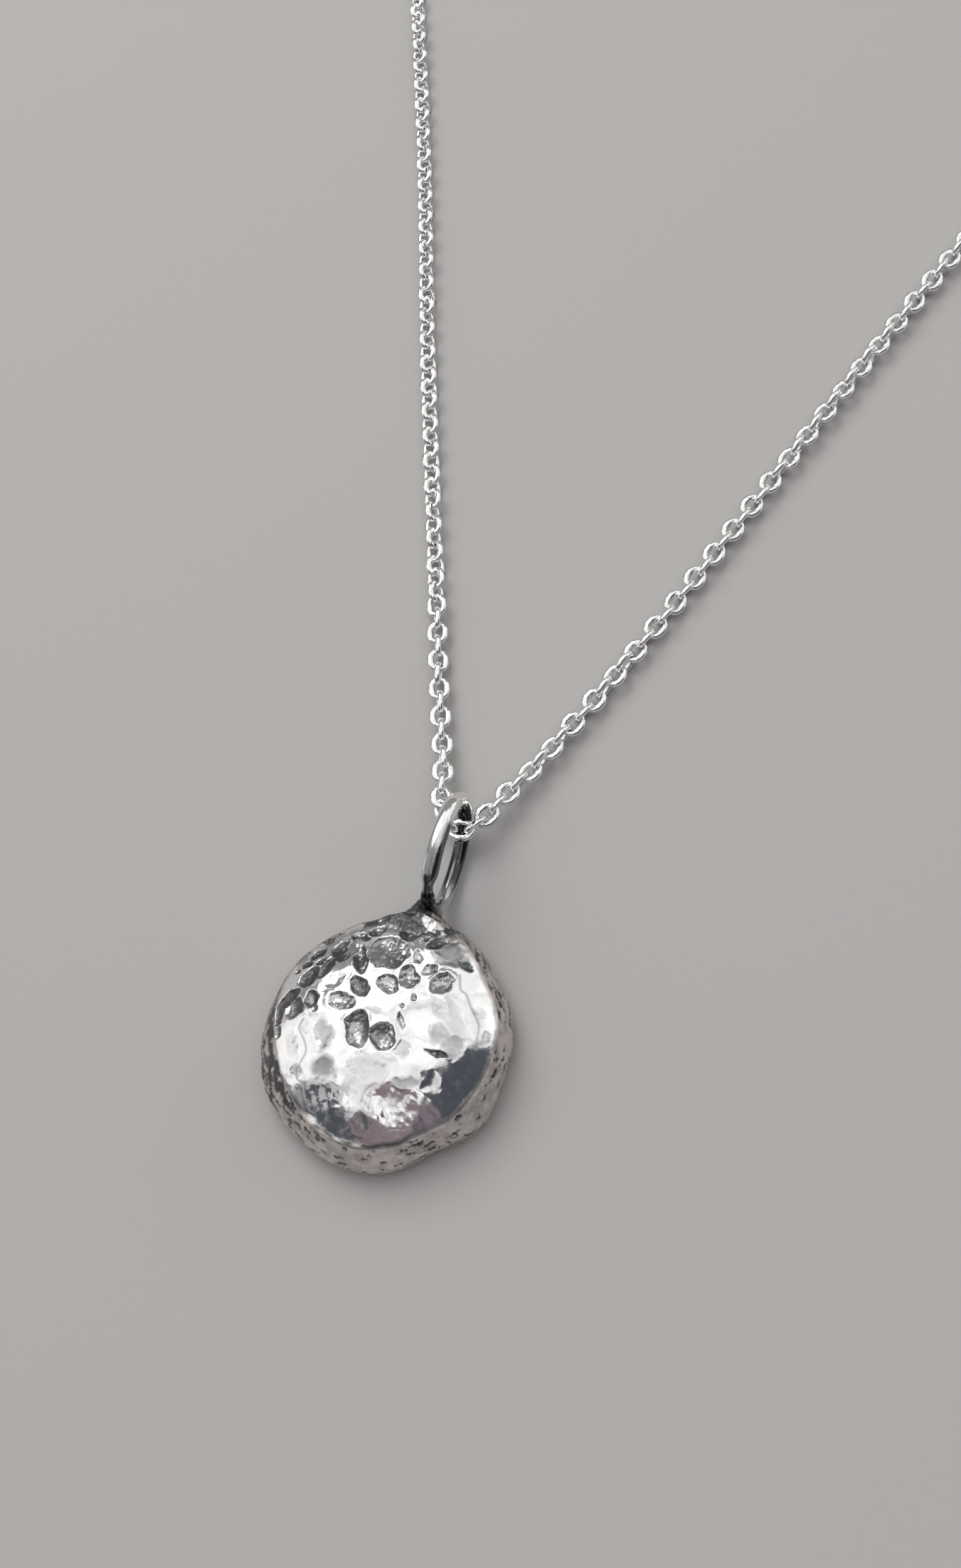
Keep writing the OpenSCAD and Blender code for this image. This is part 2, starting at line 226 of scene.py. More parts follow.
# The shallow hammer marks; their tone is how dull the polish left them, and more so on their far side as
# painted shade
DENTS = np.array([
    [-2.1, -1.4, 0.66, 0.10, 1.8, -68, 0.55], [-1.4, -3.1, 0.84, 0.11, 1.1, 13, 0.85],
    [-0.7, -4.4, 0.74, 0.03, 2.1, 13, 0.0], [-3.1, -3.6, 0.30, 0.07, 1.6, -28, 0.50],
    [-3.5, -4.7, 0.38, 0.05, 2.0, -45, 0.55], [4.0, 0.7, 0.66, 0.07, 1.3, -70, 0.50],
    [4.9, 0.3, 0.62, 0.06, 1.5, -83, 0.65], [2.5, -0.8, 0.38, 0.06, 1.9, -57, 0.35],
    [6.2, 1.5, 0.36, 0.04, 1.6, -70, 0.75], [2.7, 5.3, 0.95, 0.10, 1.2, -17, 0.80],
    [0.2, 0.4, 0.38, 0.05, 2.1, 4, 0.45], [4.4, -1.9, 0.62, 0.07, 1.1, 77, 0.30],
    [0.1, -5.4, 0.66, 0.05, 1.9, 28, 0.15], [1.5, -5.2, 0.55, 0.07, 1.2, 17, 0.35],
    [3.2, -2.5, 0.42, 0.04, 2.2, 24, 0.65], [3.0, -3.7, 1.15, 0.22, 1.5, 5, 0.0],
    [3.6, 2.1, 0.55, 0.08, 1.1, 0, 0.30], [5.4, 2.4, 0.50, 0.06, 1.3, 60, 0.20],
    [-2.8, 1.5, 0.60, 0.08, 1.4, 40, 0.20], [4.4, -3.6, 0.90, 0.08, 1.3, -40, 0.10],
    [5.7, -1.8, 0.80, 0.06, 1.2, -60, 0.15], [0.9, -2.4, 0.90, 0.07, 1.5, 10, 0.15],
    [-3.9, -2.4, 0.55, 0.05, 1.5, -60, 0.22], [-3.4, -1.2, 0.40, 0.05, 1.3, -70, 0.15],
    [-3.7, 3.9, 0.95, 0.00, 2.4, 45, 0.60],
])
# A hollow at the near left that the polish never reached, with the marks' columns but for the finish
FROSTED = np.array([-0.8, -4.3, 0.75, 0, 1.7, 13])
# Two thin scores across the face: the points that each one passes through
SCORES = [
    np.array([
        [-3.6, -0.9], [-3.7, -1.4], [-3.1, -2.0], [-2.8, -2.5], [-2.9, -3.0], [-3.1, -3.6], [-2.9, -4.0],
        [-2.5, -4.2], [-2.2, -4.9], [-1.8, -5.3],
    ]),
    np.array([[3.7, 4.3], [4.1, 3.5], [4.5, 3.3], [4.9, 2.8], [5.4, 2.3], [5.7, 1.9], [6.0, 0.7]]),
]
# Stains round the neck: x, y, radius, how black; below zero it stays bright
STAINS = np.array([
    [-0.2, 6.1, 1.1, 1.2], [0.9, 6.9, 0.5, -2.5], [0.2, 8.0, 0.9, 1.4], [2.2, 6.3, 0.9, 0.45],
    [-1.5, 6.5, 1.2, 1.2],
])
# The neck that joins the pebble to the bail: y, half width, lowest z, highest z
NECK = np.array([
    [4.9, 3.0, 0.6, 3.2], [6.0, 2.7, 0.5, 3.6], [6.8, 1.9, 0.5, 3.8],
    [7.4, 1.15, 0.6, 3.95], [7.9, 0.65, 0.9, 4.1], [8.4, 0.45, 1.3, 4.1],
])
NECK_ROUNDNESS = 0.7
# Where the neck's end is looked for from the pebble's middle, nearest and farthest
NECK_NEAREST = 6.5
NECK_FARTHEST = 8.35
# Radii of the corners between the neck and the face, and between the neck and the edge
NECK_BLEND = 0.35
EDGE_BLEND = 0.25
NECK_SATIN = 0.45
# Round the neck, where its roughness and stains lie: middle and reach along x and along y
NECK_ACROSS = (0.1, 2.4)
NECK_ALONG = (7.5, 1.75)
# The long lumps over the whole pebble, waves that cross: degrees a mm along x and along y, start, height
LUMPS = np.array([[70, 55, 20, 0.035], [70, -55, 20, 0.035], [-60, 105, 0, 0.042]])
# Parts of the rim that differ, in degrees round it from the right: middle and reach
HIGH_SIDE = (210, 34)
FOLDED_SIDE = (282, 22)
BLACK_SIDE = (122, 38)
CREASE_SHADOW_SIDE = (275, 50)
HIGH_SIDE_RISE = 0.50
RIM_PIT_DEPTH = 0.05
# The folds' height, and their waves in radians a mm
FOLD_HEIGHT = 0.007
FOLD_WAVES = 14
# Shares of the way to the crease: where its satin begins and is full, and the middle and reach of the
# painted shadow line along it
CREASE_SATIN = (0.965, 0.985)
CREASE_SHADOW_LINE = (0.975, 0.018)
# The pits' lips, as a share of their depth; those at the left are lower
LIP = 0.09
LEFT_LIP = 0.03
PIT_POWER = 0.7
DENT_POWER = 1.5
# Shares of a mark's radius: where a pit's floor and a dent's dullness begin and are full, and the
# middle and reach of a pit's lip
PIT_FLOOR = (1.05, 0.90)
DENT_FLOOR = (1.05, 0.55)
LIP_RING = (1.1, 0.12)
# The way to the far right side of a pit, and how bright the painted light makes that side and the near left
FAR_RIGHT = (0.85, 0.5)
FAR_RIGHT_LIGHT = 0.15
NEAR_LEFT_LIGHT = 0.90
# How much more the dents' outlines waver than the pits'
DENT_WAVER = 1.5
CRINKLE_DEPTH = 0.06
# How much of the oxide the polish took off the crinkles' tops, and how dull the pits' floors are
BARE_TOPS = 0.93
FLOOR_DULLNESS = 0.55
SCORE_WIDTH = 0.06
SCORE_DEPTH = 0.018
SCORE_OXIDE = 0.55
# How veiled the polish is: everywhere, more towards the near side, and most in the frosted hollow
FROST_ALL_OVER = 0.30
FROST_NEAR_SIDE = 0.35
FROST_IN_HOLLOW = 2.2
# How blackened the edge is, a value for each 45 degrees from the right
EDGE_OXIDE = np.array([0.42, 0.66, 0.95, 1.0, 0.92, 1.04, 0.42, 0.50])
EDGE_GRAIN = 0.022
CAST_PIT_DEPTH = 0.075
NECK_SIDE_GRAIN = 0.07
NECK_TOP_GRAIN = 0.09
# How far the cast edge's streaks are drawn out sideways: the points are squeezed before the noise
DRAWN_OUT = np.array([0.38, 0.38, 1.0])
# Noises, a row for each that is added up: height, size of its waves, seed
MARKS_WAVER_X = [(0.15, 0.8, 1), (0.07, 0.35, 2)]
MARKS_WAVER_Y = [(0.15, 0.8, 3), (0.07, 0.35, 4)]
CRINKLES = [(0.6, 0.24, 5), (0.4, 0.13, 6)]
PATCHES = [(1, 1.1, 7)]
FOLD_WANDER = [(2.5, 1.3, 8)]
ROUGHNESS = [(1, 0.42, 11), (0.55, 0.19, 12)]
RIPPLES = [(0.026, 1.9, 21), (0.012, 0.85, 22), (0.0018, 0.3, 23)]
BORDER_WANDER = [(0.012, 1.2, 24), (0.006, 0.4, 25)]
CREASE_SHADOW_BREAKS = [(1, 0.9, 26)]
STREAKS = [(1, 0.26, 31)]
CAST_PITS = [(0.5, 0.16, 32), (0.35, 1.4, 34)]
EDGE_RIPPLES = [(0.02, 1.3, 33)]
# The noise's lattice repeats after this many corners, and its sum is brought to about -1 to 1
LATTICE = 32
NOISE_GAIN = 1.7
# Cells across the face, rows down its edge and rings across its back; the rows are spaced for an edge
# whose crease lies this far in
FACE_CELLS = 240
WALL_ROWS = 42
BACK_RINGS = 2
TYPICAL_INSET = 0.8
POLISHED_SILVER = (0.94, 0.935, 0.93, 1)
DULL_SHADED_SILVER = (0.12, 0.125, 0.13, 1)
CAST_SILVER_DARK = (0.53, 0.49, 0.475, 1)
CAST_SILVER_LIGHT = (0.77, 0.72, 0.70, 1)
PEBBLE_OXIDE_AND_SHADE = (0.105, 0.105, 0.11, 1)


def curve(rows, place, closed=False):
    """A smooth curve through rows at places 0, 1, 2 and between: with neighbours a, b, c, d and t from b
    to c it is (2b + (c - a)t + (2a - 5b + 4c - d)t^2 + (3b - a - 3c + d)t^3) / 2."""
    row = np.floor(place).astype(int)
    t = (place - row)[..., None]
    near = [row + step for step in (-1, 0, 1, 2)]
    a, b, c, d = [rows[at % len(rows) if closed else np.clip(at, 0, len(rows) - 1)] for at in near]
    return (2 * b + (c - a) * t + (2 * a - 5 * b + 4 * c - d) * t**2 + (3 * b - a - 3 * c + d) * t**3) / 2


def noise(points, size, seed):
    """Smooth noise of about -1 to 1: each corner of a lattice has a random slope, and the slopes of the
    eight corners round a point are blended by 6t^5 - 15t^4 + 10t^3 along each side."""
    slopes = unit(np.random.default_rng(seed).normal(size=(LATTICE, LATTICE, LATTICE, 3)))
    cell = points / size
    corner = np.floor(cell).astype(int)
    inside = cell - corner
    share = inside**3 * (inside * (6 * inside - 15) + 10)
    total = np.zeros(points.shape[:-1])
    for step in itertools.product((0, 1), repeat=3):
        index = np.moveaxis((corner + step) % LATTICE, -1, 0)
        weight = np.prod(np.where(step, share, 1 - share), axis=-1)
        total += weight * (slopes[tuple(index)] * (inside - step)).sum(axis=-1)
    return NOISE_GAIN * total


def waves(points, rows):
    """The sum of some noises, height * noise, a row for each."""
    return sum(height * noise(points, size, seed) for height, size, seed in rows)


def step_up(value, begins, full):
    """0 up to where it begins, 1 from where it is full, and 3t^2 - 2t^3 between them."""
    t = np.clip((value - begins) / (full - begins), 0, 1)
    return t * t * (3 - 2 * t)


def hump(value, middle, reach, power=2):
    """1 at the middle, falling to 0 on both sides as exp(-((value - middle) / reach)^power)."""
    return np.exp(-(((value - middle) / reach) ** power))


def melt(a, b, radius):
    """The larger of a and b, with the corner between them rounded over a radius."""
    share = np.clip(0.5 + (b - a) / (2 * radius), 0, 1)
    return a * (1 - share) + b * share + radius * share * (1 - share)


def around(rows, angle):
    """A table that goes round the outline, read at an angle in radians."""
    return np.moveaxis(curve(rows, angle / (2 * np.pi) * len(rows), closed=True), -1, 0)


neck_line = curve(NECK, np.linspace(0, len(NECK) - 1, 80))


def neck_section(y):
    """Half width, lowest z and highest z of the neck at y."""
    return [np.interp(y, neck_line[:, 0], neck_line[:, column]) for column in (1, 2, 3)]


def rounded(share):
    """The neck's rounded section, (1 - share^(2 / r))^(r / 2) at a share of the way from its middle."""
    return (1 - np.clip(share, 0, 1) ** (2 / NECK_ROUNDNESS)) ** (NECK_ROUNDNESS / 2)


def neck_width(y, z):
    """Half width of the neck at y and z."""
    width, low, high = neck_section(y)
    return width * rounded(np.abs(2 * z - low - high) / (high - low))


def neck_top(x, y):
    """Height of the neck's upper side over x and y."""
    width, low, high = neck_section(y)
    return (low + high) / 2 + (high - low) / 2 * rounded(np.abs(x) / width)


def near_neck(x, y):
    """1 on the neck, falling to 0 round its foot."""
    return hump(x, *NECK_ACROSS, power=4) * hump(y, *NECK_ALONG, power=4)


def lumps(x, y):
    """Sum of the long waves, height * sin(a x + b y + start)."""
    return sum(height * np.sin(np.radians(a * x + b * y + start)) for a, b, start, height in LUMPS)


def from_middle(mark, x, y):
    """Distance of x and y from a mark's middle, as a share of its radius: sqrt((along / stretch)^2 +
    across^2) / radius, where along and across are the distances along its stretch and square to it."""
    along_x, along_y = np.cos(np.radians(mark[TURN])), np.sin(np.radians(mark[TURN]))
    along = (x - mark[X]) * along_x + (y - mark[Y]) * along_y
    across = (y - mark[Y]) * along_x - (x - mark[X]) * along_y
    return np.hypot(along / mark[STRETCH], across) / mark[RADIUS]


def pitted(x, y, points):
    """Depth, lip, blackness and dullness of the deep pits. With u the share of a pit's radius, it is
    depth * (1 - u^2)^0.7 deep and has a raised lip at u = 1.1. Its crinkled floor is black with oxide but
    for the crinkles' tops; its near left has painted light, less black and less dull, its far right painted
    shade."""
    crinkle = waves(points, CRINKLES)
    patchy = waves(points, PATCHES)
    depth, lip, floor, lit = np.zeros((4, *x.shape))
    for mark in PITS:
        u = from_middle(mark, x, y)
        inside = step_up(u, *PIT_FLOOR)
        # Painted light on each floor's near left and painted shade on its far right, through its black and
        # its dullness
        across = (x - mark[X]) * FAR_RIGHT[0] + (y - mark[Y]) * FAR_RIGHT[1]
        near_left = step_up(across / mark[RADIUS] + 0.7 * crinkle, 0.5, -0.5)
        light = FAR_RIGHT_LIGHT + (NEAR_LEFT_LIGHT - FAR_RIGHT_LIGHT) * near_left
        lip_share = LIP - (LIP - LEFT_LIP) * step_up(-mark[X], 2.2, 3.4)
        depth = np.maximum(depth, mark[DEPTH] * np.clip(1 - u * u, 0, 1) ** PIT_POWER)
        lip = np.maximum(lip, lip_share * mark[DEPTH] * hump(u, *LIP_RING))
        floor = np.maximum(floor, inside)
        lit = np.maximum(lit, inside * mark[TONE] * light)
    bright = step_up(crinkle + 0.8 * patchy - 0.45 * step_up(-x, 2.4, 3.6), 0.05, 0.40)
    black = floor * (1 - BARE_TOPS * bright) * (1 - lit)
    depth = depth + CRINKLE_DEPTH * floor * crinkle
    return depth, lip * (1 - floor), black, FLOOR_DULLNESS * floor * (1 - 0.5 * lit)


def dented(x, y):
    """Depth and dullness of the shallow marks: a bowl, depth * (1 - u^2)^1.5, dullest at its far side, which
    is painted shade.
    """
    depth, dull_and_shade = np.zeros((2, *x.shape))
    for mark in DENTS:
        u = from_middle(mark, x, y)
        # The far side of each dent is painted duller, and so darker, as shade
        far = 0.85 + 0.15 * np.clip((y - mark[Y]) / mark[RADIUS], -1, 1)
        depth = np.maximum(depth, mark[DEPTH] * np.clip(1 - u * u, 0, 1) ** DENT_POWER)
        dull_and_shade = np.maximum(dull_and_shade, mark[TONE] * far * step_up(u, *DENT_FLOOR))
    return depth, dull_and_shade


def scored(x, y):
    """1 along the thin scores, falling to 0 beside them."""
    nearest = np.full_like(x, np.inf)
    for score in SCORES:
        for at_x, at_y in curve(score, np.linspace(0, len(score) - 1, 12 * len(score))):
            nearest = np.minimum(nearest, np.hypot(x - at_x, y - at_y))
    return hump(nearest, 0, SCORE_WIDTH)


def folded(degrees, reach, points):
    """Low folds along the crease at the near side: height * sin(14 * distance along the radius), which
    noise pushes to and fro."""
    fold = np.sin(FOLD_WAVES * reach + waves(points, FOLD_WANDER))
    return FOLD_HEIGHT * hump(degrees, *FOLDED_SIDE) * fold


def stained(x, y, points):
    """How black the neck's foot is: where its roughness comes over a level, with the stains added, each
    black * exp(-(distance / radius)^4)."""
    stain = 0
    for at_x, at_y, radius, black in STAINS:
        stain = stain + black * hump(np.hypot(x - at_x, y - at_y), 0, radius, 4)
    foot = np.minimum(1, 1.7 * near_neck(x, y))
    return foot * step_up(waves(points, ROUGHNESS) + 1.2 * stain, -0.1, 0.5)


def cast_pits(points, angle, more):
    """1 in the black pits of the cast edge: noise drawn out along the edge, above a level that the table
    of oxide sets for each direction."""
    pitting = waves(points * DRAWN_OUT, STREAKS) + waves(points, CAST_PITS)
    return step_up(pitting + 0.9 * (around(EDGE_OXIDE[:, None], angle)[0] - 0.5) + more, 0.30, 0.58)


def face_surface(share, angle):
    """The domed face: at a share of the way to the crease its height is the crease's, plus
    rise * (1 - share^2.5), less the marks, plus the lumps and fine ripples, melted into the neck's top.
    With its points come its values for oxide and painted shade, satin, dullness with painted light and shade,
    and frost."""
    radius, inset = around(EDGE, angle)
    degrees = np.degrees(angle)
    reach = share * (radius - inset)
    x = reach * np.cos(angle)
    y = reach * np.sin(angle)
    points = np.stack([x, y, np.zeros_like(x)], axis=-1)
    waver_x = waves(points, MARKS_WAVER_X)
    waver_y = waves(points, MARKS_WAVER_Y)
    # The pits' black and dullness carry painted light on each floor's near left and painted shade on its far
    # right
    depth, lip, black, worn = pitted(x + waver_x, y + waver_y, points)
    shallow, dull_and_shade = dented(x + DENT_WAVER * waver_x, y + DENT_WAVER * waver_y)
    score = scored(x, y)
    z = CREASE_HEIGHT + DOME_RISE * (1 - share**DOME_POWER) + lumps(x, y)
    z = z + HIGH_SIDE_RISE * share**4 * hump(degrees, *HIGH_SIDE)
    z = z + waves(points, RIPPLES) + lip - np.maximum(depth, shallow) - SCORE_DEPTH * score
    z = z + step_up(share, 0.78, 0.95) * folded(degrees, reach, points)
    z = melt(z, neck_top(x, y), NECK_BLEND)
    neck = near_neck(x, y)
    raised = points + np.array([0, 0, CREASE_HEIGHT])
    rim_pits = step_up(share, 0.87, 0.95) * hump(degrees, *BLACK_SIDE, power=4)
    rim_pits = rim_pits * cast_pits(raised, angle, -0.1)
    z = z + NECK_TOP_GRAIN * neck * waves(raised, ROUGHNESS) - RIM_PIT_DEPTH * rim_pits
    border = share + waves(points, BORDER_WANDER)
    # A painted shadow along the crease, broken in places, round the near side of the rim, put in with the
    # black
    outline = hump(border, *CREASE_SHADOW_LINE) * step_up(waves(points, CREASE_SHADOW_BREAKS), -0.5, 0.1)
    outline = outline * hump(degrees, *CREASE_SHADOW_SIDE, power=4)
    for mask in (SCORE_OXIDE * score, stained(x, y, raised), rim_pits, outline):
        black = np.maximum(black, mask)
    satin = np.maximum(NECK_SATIN * neck, step_up(border, *CREASE_SATIN))
    frost = FROST_ALL_OVER + FROST_NEAR_SIDE * step_up(-y - 0.15 * x, 2.2, 3.4)
    frost = frost + FROST_IN_HOLLOW * hump(from_middle(FROSTED, x, y), 0, 1, 4)
    return np.stack([x, y, z], axis=-1), black, satin, np.maximum(dull_and_shade, worn), frost


def neck_reach(angle, z, radius):
    """How far out the neck's outline lies at an angle and height: the last r at which |r cos(angle)| is
    still under the neck's half width. Where there is none, it is 1 mm inside the pebble's radius."""
    r = np.linspace(NECK_NEAREST, NECK_FARTHEST, 75)
    y = r * np.sin(angle)[..., None]
    spare = neck_width(y, z[..., None]) - np.abs(r * np.cos(angle)[..., None])
    spare = np.where(y > NECK_NEAREST - 0.1, spare, -1)
    last = len(r) - 1 - np.argmax((spare > 0)[..., ::-1], axis=-1)
    found = (spare > 0).any(axis=-1)
    return np.where(found, r[last], radius - 1)


def wall_surface(rim, rim_angle, rows):
    """The edge from the crease down to the flat back, row by row. Its radius is the crease's, plus
    (widest - crease) * (1 - inward^p). The neck pushes the widest further out, and p goes from 1 to 3.5
    where it does. The roughness and pits are along the radius."""
    radius = around(EDGE, rim_angle)[0]
    inward, height, extra = np.moveaxis(curve(WALL, rows), -1, 0)[..., None]
    inward = np.clip(inward, 0, 1)
    height = np.clip(height, 0, 1)
    z = height * rim[:, 2]
    angle = rim_angle + 0 * z
    crease = np.hypot(rim[:, 0], rim[:, 1])
    widest = melt(radius + 0 * z, neck_reach(angle, z, radius), EDGE_BLEND)
    bulge = np.clip((widest - radius) / 0.5, 0, 1)
    reach = crease + (widest - crease) * (1 - inward ** (1 + 2.5 * bulge)) - extra
    x = reach * np.cos(rim_angle)
    y = reach * np.sin(rim_angle)
    points = np.stack([x, y, z], axis=-1)
    # More black pits low on the edge, so it is darker towards the bottom, and a band just under the crease at
    # the left that is painted crease shadow
    low_edge = step_up(height, 0.35, 0.0)
    under_crease_shade = hump(height, 0.86, 0.07) * step_up(-np.cos(rim_angle), 0.2, 0.6)
    pits = cast_pits(points, angle, 0.55 * low_edge + 0.5 * under_crease_shade)
    roughness = waves(points, ROUGHNESS)
    out = EDGE_GRAIN * roughness + waves(points, EDGE_RIPPLES) - CAST_PIT_DEPTH * pits
    out = out + NECK_SIDE_GRAIN * near_neck(x, y) * roughness
    out = out * step_up(height, 1.0, 0.96) * step_up(height, 0.0, 0.12)
    points[..., 0] += out * np.cos(rim_angle)
    points[..., 1] += out * np.sin(rim_angle)
    return points, np.maximum(pits * step_up(height, 1.0, 0.96), stained(x, y, points))


def shape(name, points, faces, values):
    """A smooth object from points in millimetres and lists of faces, with values for its points."""
    mesh = bpy.data.meshes.new(name)
    polygons = list(itertools.chain.from_iterable(part.tolist() for part in faces))
    mesh.from_pydata(points * MM, [], polygons)
    for label, value in values.items():
        layer = mesh.attributes.new(label, "FLOAT", "POINT")
        layer.data.foreach_set("value", np.ravel(value).astype(np.float32))
    mesh.shade_smooth()
    made = bpy.data.objects.new(name, mesh)
    bpy.context.collection.objects.link(made)
    return made


def run_along(line):
    """Distance along a line of points, from its first to each."""
    return np.concatenate([[0], np.cumsum(np.linalg.norm(np.diff(line, axis=0), axis=1))])


def even_rows():
    """Places in the edge's profile that lie evenly along it, from just under the crease to the back."""
    places = np.linspace(0, len(WALL) - 1, 200)
    run = run_along(curve(WALL, places) * np.array([TYPICAL_INSET, CREASE_HEIGHT, 1]))
    return np.interp(np.linspace(0, run[-1], WALL_ROWS + 1)[1:], run, places)


def make_pebble():
    """The face is a square grid pressed into a disc, so that it has no pole: the longer of |u| and |v| is
    the share of the radius, and the shorter over the longer is the angle. The wall hangs from its rim, and
    a fan of faces closes the flat back."""
    side = np.linspace(-1, 1, FACE_CELLS + 1)
    u, v = np.meshgrid(side, side)
    wide = np.abs(u) >= np.abs(v)
    longer = np.where(wide, u, v)
    safe = np.where(longer == 0, 1, longer)
    turn = np.where(wide, np.pi / 4 * v / safe, np.pi / 2 - np.pi / 4 * u / safe)
    angle = np.where(longer < 0, turn + np.pi, turn) % (2 * np.pi)
    face, oxide_and_shade, satin, dull_and_shade, frost = face_surface(np.abs(longer), angle)
    index = np.arange(u.size).reshape(u.shape)
    quads = np.stack([index[:-1, :-1], index[:-1, 1:], index[1:, 1:], index[1:, :-1]], axis=-1)
    rim = np.concatenate([index[0, :-1], index[:-1, -1], index[-1, :0:-1], index[:0:-1, 0]])
    wall, wall_oxide_and_shade = wall_surface(face.reshape(-1, 3)[rim], angle.ravel()[rim], even_rows())
    back = wall[-1] * np.linspace(1, 0, BACK_RINGS + 1)[1:-1, None, None]
    points = np.concatenate([part.reshape(-1, 3) for part in (face, wall, back, np.zeros(3))])
    rings = np.arange(u.size, len(points) - 1).reshape(-1, len(rim))
    rings = np.concatenate([rim[None], rings])
    following = np.roll(rings, -1, axis=1)
    sides = np.stack([rings[:-1], rings[1:], following[1:], following[:-1]], axis=-1)
    middle = np.full(len(rim), len(points) - 1)
    fan = np.stack([rings[-1], middle, following[-1]], axis=-1)
    below = np.zeros(len(points) - u.size)
    below_wall = below[wall_oxide_and_shade.size:]
    # The oxide values carry painted crease shadow and the pits' painted shade, the dullness painted light and
    # shade
    return shape("pebble", points, [quads.reshape(-1, 4), sides.reshape(-1, 4), fan], {
        "oxide_and_shade": np.concatenate([oxide_and_shade.ravel(), wall_oxide_and_shade.ravel(), below_wall]),
        "satin": np.concatenate([satin.ravel(), below + 1]),
        "dull_and_shade": np.concatenate([dull_and_shade.ravel(), below]),
        "frost": np.concatenate([frost.ravel(), below]),
    })


def build_handling():
    """A node group for handled silver: smudges in its roughness, and a height of hairline scratches."""
    group = bpy.data.node_groups.new("handling", "ShaderNodeTree")
    for name, value in (("Polished", 0.05), ("Worn", 0.15), ("Scale", 1.0)):
        socket = group.interface.new_socket(name, in_out="INPUT", socket_type="NodeSocketFloat")
        socket.default_value = value
    for name in ("Roughness", "Height"):
        group.interface.new_socket(name, in_out="OUTPUT", socket_type="NodeSocketFloat")
    given = group.nodes.new("NodeGroupInput")
    place = add(group, "ShaderNodeTexCoord").outputs["Object"]
    sized = add(group, "ShaderNodeVectorMath", {0: place, "Scale": given.outputs["Scale"]}, operation="SCALE")
    smudge = cloudy(group, sized.outputs[0], 700, 4)
    worn = add(group, "ShaderNodeMapRange", {
        "Value": smudge, "From Min": 0.35, "From Max": 0.7,
        "To Min": given.outputs["Polished"], "To Max": given.outputs["Worn"],
    })
    drawn = add(group, "ShaderNodeMapping", {
        "Vector": sized.outputs[0], "Rotation": (0.3, 0.2, 0.6), "Scale": (1, 14, 6),
    })
    hairs = cloudy(group, drawn.outputs[0], 900, 3)
    put_out = group.nodes.new("NodeGroupOutput")
    group.links.new(worn.outputs[0], put_out.inputs["Roughness"])
    group.links.new(hairs, put_out.inputs["Height"])
    return group


handling = build_handling()


def handled(tree, polished, worn):
    """The group in a material, with the roughness of its polished and its worn spots."""
    sockets = {"Polished": polished, "Worn": worn, "Scale": 1.0}
    return add(tree, "ShaderNodeGroup", sockets, node_tree=handling)


def new_material(name):
    """A new material of solid metal, with its tree and its shader."""
    made = bpy.data.materials.new(name)
    made.use_nodes = True
    shader = made.node_tree.nodes["Principled BSDF"]
    shader.inputs["Metallic"].default_value = 1.0
    return made, made.node_tree, shader


def painted(tree, label):
    """The value that a piece's points carry under a label."""
    return add(tree, "ShaderNodeAttribute", attribute_name=label).outputs["Fac"]


def between(tree, share, low, high):
    """The number low * (1 - share) + high * share."""
    return add(tree, "ShaderNodeMix", {0: share, 2: low, 3: high}).outputs[0]


def pebble_silver():
    """Polished silver, veiled with frost, greyer where it was left dull and where shade is painted as
    dullness, a warm satin on the cast edge, and black where it is oxidised and where shade is painted."""
    made, tree, shader = new_material("hammered_silver")
    oxide_and_shade, satin, dull_and_shade, frost = [painted(tree, label) for label in ("oxide_and_shade", "satin", "dull_and_shade", "frost")]
    place = add(tree, "ShaderNodeTexCoord").outputs["Object"]
    wear = handled(tree, 0.05, 0.14)
    grain = cloudy(tree, place, 5200, 3)
    mottle = cloudy(tree, place, 1500, 4)
    fine = cloudy(tree, place, 7500, 4, 0.6)
    veil = ramp(tree, cloudy(tree, place, 2300, 6, 0.65), 0.40, 0.72)
    veiled = reckon(tree, "MULTIPLY", frost, veil, use_clamp=True)
    # The black and the dark dull silver paint shade as well as the real oxide and dullness
    broken = reckon(tree, "MULTIPLY", oxide_and_shade, ramp(tree, fine, 0.80, 0.62))
    patchy = reckon(tree, "MULTIPLY", dull_and_shade, ramp(tree, mottle, 0.15, 0.5))
    polished = blend(tree, patchy, POLISHED_SILVER, DULL_SHADED_SILVER)
    cast = blend(tree, ramp(tree, mottle, 0.35, 0.65), CAST_SILVER_DARK, CAST_SILVER_LIGHT)
    colour = blend(tree, satin, polished, cast)
    tree.links.new(blend(tree, broken, colour, PEBBLE_OXIDE_AND_SHADE), shader.inputs["Base Color"])
    roughness = wear.outputs["Roughness"]
    for mask, covered in ((veiled, 0.50), (patchy, 0.30), (satin, 0.36), (broken, 0.42)):
        roughness = between(tree, mask, roughness, covered)
    tree.links.new(roughness, shader.inputs["Roughness"])
    coarse = reckon(tree, "MULTIPLY", grain, satin)
    crusted = reckon(tree, "MULTIPLY_ADD", fine, oxide_and_shade, coarse)
    height = reckon(tree, "MULTIPLY_ADD", wear.outputs["Height"], 0.15, crusted)
    bump = add(tree, "ShaderNodeBump", {"Height": height, "Strength": 0.5, "Distance": 0.04 * MM})
    tree.links.new(bump.outputs[0], shader.inputs["Normal"])
    return made


pebble = make_pebble()
pebble.data.materials.append(pebble_silver())
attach(pebble, "root")
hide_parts("pendant")

# The bail
# An oval loop of round silver wire, standing on the table in line with the neck and soldered into it. The
# wire is hammered a little oval and thins to a point where its upper run meets the neck.
BAIL_AT = np.array([0.05, 11.15, 2.95])
BAIL_LENGTH = 7.7
BAIL_HEIGHT = 5.9
BAIL_WIRE = 0.9
BAIL_END_SHARE = 0.9
BAIL_TURN = np.radians(4.4)
